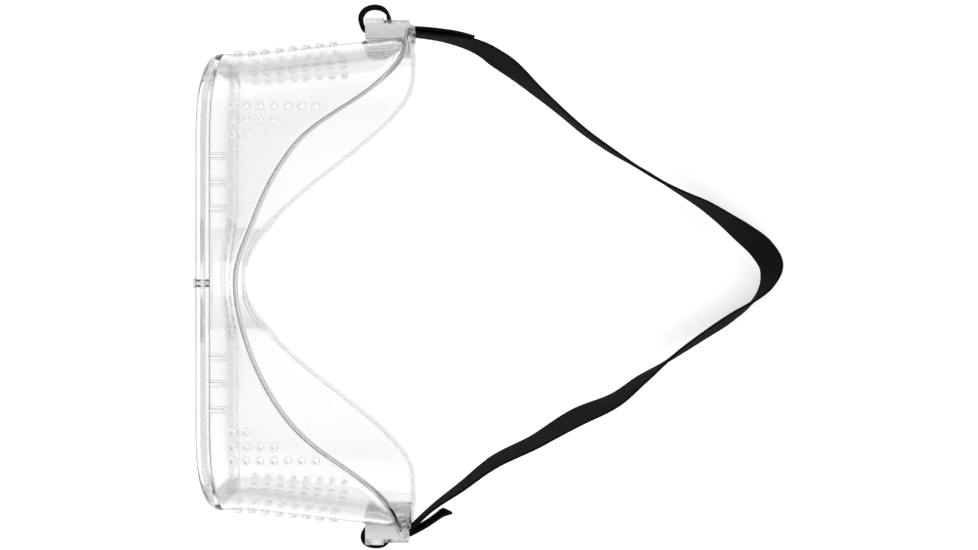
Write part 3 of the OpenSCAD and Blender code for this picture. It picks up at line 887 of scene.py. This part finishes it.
def milky_material(name, colour, clear):
    """Translucent plastic: milky over a buckle's tunnel, clearer and greyer in the plates beside it."""
    m, t = nodes_of(name)
    place = add(t, "ShaderNodeTexCoord").outputs["Object"]
    cloud, grain = noise(t, place, 120.0, 4.0), noise(t, place, 1600.0)
    lighter = tuple(min(c * 1.06, 1.0) for c in colour[:3]) + (1,)
    where = add(t, "ShaderNodeNewGeometry").outputs["Position"]
    off = calc(t, "ABSOLUTE", add(t, "ShaderNodeSeparateXYZ", {0: where}).outputs[0])
    plate = fade(t, off, (PLATE_OUT - 2.3) * MM, (PLATE_OUT - 1.8) * MM)
    leg = fade(t, off, (EAR_OUT + 0.2) * MM, (EAR_OUT - 0.4) * MM)
    clearer = calc(t, "MAXIMUM", plate, leg)
    # painted shade: besides the greyer plates, the plastic is greyed where it is seen edge-on
    greyer = calc(t, "MAXIMUM", clearer, calc(t, "POWER", facing_away(t, 0.5), 3.0))
    zoned = tone_mix(t, greyer, tone_mix(t, cloud, colour, lighter), (0.74, 0.73, 0.715, 1))
    glass = add(t, "ShaderNodeBsdfPrincipled", {
        "Base Color": zoned, "Roughness": fade(t, cloud, 0.0, 1.0, 0.10, 0.28), "IOR": 1.49,
        "Transmission Weight": fade(t, clearer, 0.0, 1.0, clear, 0.92), "Subsurface Weight": 0.25,
        "Subsurface Radius": (4 * MM,) * 3, "Normal": bump(t, grain, 0.25, 0.1 * MM)}).outputs[0]
    thin = add(t, "ShaderNodeBsdfTransparent", {"Color": (0.86, 0.86, 0.86, 1)}).outputs[0]
    shadow = calc(t, "MULTIPLY", add(t, "ShaderNodeLightPath").outputs["Is Shadow Ray"], 0.8)
    add(t, "ShaderNodeOutputMaterial", {"Surface": shader_mix(t, shadow, glass, thin)})
    return m


def webbing_material():
    """Black knitted elastic: fine stitches along the ribs, a dull sheen, worn lighter in patches."""
    m, t = nodes_of("black_elastic")
    uv = add(t, "ShaderNodeUVMap", uv_map="along").outputs[0]
    split = add(t, "ShaderNodeSeparateXYZ", {0: uv}).outputs
    along = calc(t, "MULTIPLY", split[0], 2 * math.pi / (1.1 * MM))
    across = calc(t, "MULTIPLY", split[1], 2 * math.pi / (0.55 * MM))
    # every other row of stitches is offset by a quarter of their length
    row = calc(t, "FLOOR", calc(t, "DIVIDE", across, math.pi))
    shifted = calc(t, "MULTIPLY_ADD", row, math.pi / 2, along)
    stitch = calc(t, "MULTIPLY", calc(t, "SINE", shifted), calc(t, "SINE", across))
    place = add(t, "ShaderNodeTexCoord").outputs["Object"]
    fuzz, worn = noise(t, place, 2600.0, 3.0), noise(t, place, 60.0, 4.0)
    knit = bump(t, calc(t, "MULTIPLY_ADD", fuzz, 0.6, stitch), 0.55, 0.12 * MM)
    tone = tone_mix(t, worn, (0.0035, 0.0035, 0.0036, 1), (0.008, 0.0078, 0.0075, 1))
    cloth = add(t, "ShaderNodeBsdfPrincipled", {
        "Base Color": tone, "Roughness": fade(t, worn, 0.0, 1.0, 0.62, 0.85),
        "Specular IOR Level": 0.045, "Sheen Weight": 0.01, "Sheen Roughness": 0.5,
        "Sheen Tint": (0.5, 0.5, 0.5, 1), "Normal": knit})
    add(t, "ShaderNodeOutputMaterial", {"Surface": cloth.outputs[0]})
    return m


def paint(obj, material):
    """Gives obj its only material."""
    obj.data.materials.clear()
    obj.data.materials.append(material)


# the body's edges get a dark grey-brown painted shade; the lens's painted edge shade is white, so it has none
body_mat = clear_material(
    "clear_body", edge_shade=(0.11, 0.10, 0.09, 1), grey=(0.72, 0.71, 0.70, 1), absorb=(8.0, 8.6, 10.0),
    rough=0.008, ior=1.50, bump_strength=0.05, steepness=4.0)
lens_mat = clear_material(
    "clear_lens", edge_shade=WHITE, grey=(0.78, 0.77, 0.82, 1), absorb=(1.5, 1.6, 1.2),
    rough=0.004, ior=1.58, bump_strength=0.01, steepness=9.0, film_nm=420.0)
clip_mat = milky_material("clear_clip", (0.95, 0.95, 0.945, 1), 0.4)
stud_mat = milky_material("milky_stud", (0.93, 0.92, 0.86, 1), 0.7)
band_mat = webbing_material()

# ---------- the goggles ----------

for piece, material, slot_name, node in (
    (build_body(), body_mat, "clear_body", "frame_body"),
    (build_lens(), lens_mat, "clear_lens", "lens"),
    (build_stud(), stud_mat, "clear_clip", "lens_lock_stud"),
):
    paint(piece, material)
    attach(piece, "goggle")
    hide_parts(node)

for node in ("strap_clip_right", "strap_clip_left"):
    clip = frame["nodes"][node]
    paint(clip, clip_mat)
    weld = clip.modifiers.new("weld", "WELD")
    weld.merge_threshold = 0.02 * MM
    edges = clip.modifiers.new("round", "BEVEL")
    edges.width, edges.segments, edges.harden_normals = 0.28 * MM, 2, True
    edges.limit_method, edges.angle_limit = "ANGLE", math.radians(40)
    clip.data.shade_smooth()

# ---------- the headband ----------

centre, width_dir = band_path()
mid = int(np.argmax(centre[:, 1]))
band_halves = {
    "right": (centre[: mid + 1], width_dir[: mid + 1]),
    "left": (centre[mid:][::-1], width_dir[mid:][::-1]),
}
SIGN = {"right": -1, "left": 1}


def cut(path, widths, y0, y1):
    """The stretch of a path between two depths."""
    depth = path[:, 1]
    order = np.maximum.accumulate(depth + np.arange(len(depth)) * 1e-7)
    at = np.concatenate([[y0], depth[(depth > y0 + 0.05) & (depth < y1 - 0.05)], [y1]])
    both = np.hstack([path, widths])
    rows = np.column_stack([np.interp(at, order, both[:, k]) for k in range(6)])
    return rows[:, :3], rows[:, 3:]


def bend(obj):
    """Bakes obj's transform into its mesh."""
    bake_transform(obj)


def band_piece(name, node, path, widths, slant=0.0):
    """A length of the headband that stands for a CAD node."""
    obj = webbing(name, path, widths, slant)
    paint(obj, band_mat)
    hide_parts(node)
    return obj


for side, (path, widths) in band_halves.items():
    s = SIGN[side]
    # the buckle's loop, whose front leans inward at the top, and the doubled stretch behind it
    plan = resample(loop_path(snug=side == "left"), 0.6)
    plan[:, 0] *= s
    ring, _ = level(plan)
    lean = np.radians(3.5) * (1 - smooth(CLIP_FRONT - 1, CLIP_FRONT + 9, ring[:, 1]))
    up = np.column_stack([-s * np.sin(lean), 0 * lean, np.cos(lean)])
    neck, neck_w = (rows[::-1][:-1] for rows in cut(path, widths, MOUTH, NECK_END))
    loop = band_piece(
        f"strap_loop_{side}", f"strap_bight_{side}", np.vstack([neck, ring]), np.vstack([neck_w, up]))
    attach(loop, "goggle")
    # behind it, first the stretch up to RUN_SPLIT, then the stretch from there to the back piece
    run = f"strap_run_{side}"
    first = band_piece(f"strap_bend_{side}", run, *cut(path, widths, NECK_END, RUN_SPLIT))
    bend(first)
    second = band_piece(f"{run}_rear", run, *cut(path, widths, RUN_SPLIT, BACK_SPLIT))
    bend(second)

inside = np.flatnonzero(centre[:, 1] > BACK_SPLIT + 0.05)
kept = slice(inside[0], inside[-1] + 1)
right_end, left_end = (cut(*half, BACK_SPLIT, BACK_SPLIT + 1) for half in band_halves.values())
back_c = np.vstack([right_end[0][:1], centre[kept], left_end[0][:1]])
back_w = np.vstack([right_end[1][:1], width_dir[kept], left_end[1][:1]])
back = band_piece("strap_back_band", "strap_back", back_c, back_w)
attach(back, "band_back")

# each free end: the degrees by which its tip leans out, its slanted cut, and its plan behind the mouth
TAILS = {
    "right": (11.0, 1.5, [(-92.5, 80), (-91.5, 86), (-90.2, 92), (-88.6, 97.0)]),
    "left": (3.0, 4.0, [(91.4, 77.6), (89.6, 80.6), (87.5, 83.6), (85.9, 86.0), (85.1, 88.0)]),
}
TAIL_RISE = 0.4
for side, (lean, slant, keys) in TAILS.items():
    keys = np.array([(SIGN[side] * TAIL_X, MOUTH)] + keys, float)
    path, up = level(spline(travelled(keys), keys, 0.6))
    out = np.tile([float(SIGN[side]), 0.0, 0.0], (len(path), 1))
    share = np.linspace(0, 1, len(path))[:, None]
    tilt = np.radians(lean) * share
    path[:, 2] += TAIL_RISE * share[:, 0]
    width = up * np.cos(tilt) + out * np.sin(tilt)
    tail = band_piece(f"strap_tail_{side}_end", f"strap_tail_{side}", path, width, slant)
    bend(tail)

# ---------- stage, light and camera ----------


def build_floor():
    """A pale sheet that glows a little, like a light table, so that the plastic's shadow stays light."""
    bm = bmesh.new()
    bmesh.ops.create_circle(bm, cap_ends=True, radius=0.7, segments=96)
    obj = linked("floor", mesh_from("floor", bm))
    m, t = nodes_of("floor_paper")
    place = add(t, "ShaderNodeTexCoord").outputs["Object"]
    fibres = bump(t, noise(t, place, 500.0), 0.02, 0.1 * MM)
    # the floor is painted dark for refracted rays that meet it slant and far off, a painted stand-in for the
    # dark studio beyond the paper, which shows only in the refractions at the plastic's edges
    slant = facing_away(t, 0.5)
    far_off = calc(t, "MULTIPLY", fade(t, slant, 0.45, 0.75), fade(t, slant, 0.92, 0.82))
    path = add(t, "ShaderNodeLightPath").outputs
    bent = calc(t, "MULTIPLY", path["Is Transmission Ray"], far_off)
    bent = calc(t, "MULTIPLY", bent, fade(t, path["Ray Length"], 50 * MM, 85 * MM))
    tone = tone_mix(t, bent, (0.94, 0.94, 0.94, 1), (0.22, 0.21, 0.20, 1))
    paper = add(t, "ShaderNodeBsdfDiffuse", {"Color": tone, "Normal": fibres}).outputs[0]
    glow = add(t, "ShaderNodeEmission", {"Color": tone, "Strength": 0.42}).outputs[0]
    table = add(t, "ShaderNodeAddShader", {0: paper, 1: glow}).outputs[0]
    add(t, "ShaderNodeOutputMaterial", {"Surface": table})
    obj.data.materials.append(m)
    obj.location.z = -0.1 * MM


def build_sky():
    """Soft light from all round, with a dark band above the pale horizon and a dim patch at the camera."""
    sky = bpy.data.worlds.new("studio")
    scene.world = sky
    sky.use_nodes = True
    t = sky.node_tree
    t.nodes.clear()
    direction = add(t, "ShaderNodeTexCoord").outputs["Generated"]
    up = add(t, "ShaderNodeSeparateXYZ", {0: direction}).outputs[2]
    ramp = add(t, "ShaderNodeValToRGB", {0: up})
    # (sine of the height above the horizon, brightness)
    tones = [(0.06, 0.95), (0.14, 0.03), (0.25, 0.03), (0.42, 1.14), (0.88, 1.14), (0.96, 0.3)]
    while len(ramp.color_ramp.elements) < len(tones):
        ramp.color_ramp.elements.new(0.5)
    for element, (place, tone) in zip(ramp.color_ramp.elements, tones):
        element.position, element.color = place, (tone, tone, tone * 1.01, 1)
    seen = add(t, "ShaderNodeLightPath").outputs["Is Camera Ray"]
    colour = tone_mix(t, seen, ramp.outputs[0], WHITE)
    shine = add(t, "ShaderNodeBackground", {"Color": colour, "Strength": 1.0}).outputs[0]
    add(t, "ShaderNodeOutputWorld", {"Surface": shine})


def build_key_light():
    """One soft lamp from above the wearer's left."""
    data = bpy.data.lights.new("key", "AREA")
    data.shape, data.size, data.energy = "DISK", 0.7, 0.8
    lamp = linked("key", data)
    lamp.location = (0.42, -0.12, 1.35)
    lamp.rotation_mode = "QUATERNION"
    lamp.rotation_quaternion = (-lamp.location).to_track_quat("-Z", "Y")


build_floor()
build_sky()
build_key_light()

# straight above, with the wearer's right at the picture's top
camera_data = bpy.data.cameras.new("camera")
camera_data.sensor_width, camera_data.lens = 36.0, 70.98
camera_data.shift_y = -0.045
camera_data.clip_start, camera_data.clip_end = 0.01, 20
camera = linked("camera", camera_data)
camera.rotation_mode = "QUATERNION"
camera.matrix_world = Matrix(((0, -1, 0, -0.0184), (1, 0, 0, -0.0035), (0, 0, 1, 0.756), (0, 0, 0, 1)))
scene.camera = camera

scene.view_settings.view_transform = "Standard"
scene.cycles.use_denoising = True
scene.cycles.max_bounces = 16
scene.cycles.transmission_bounces = 16
scene.cycles.transparent_max_bounces = 32
scene.cycles.glossy_bounces = 6
scene.cycles.diffuse_bounces = 4
scene.cycles.sample_clamp_indirect = 3.0
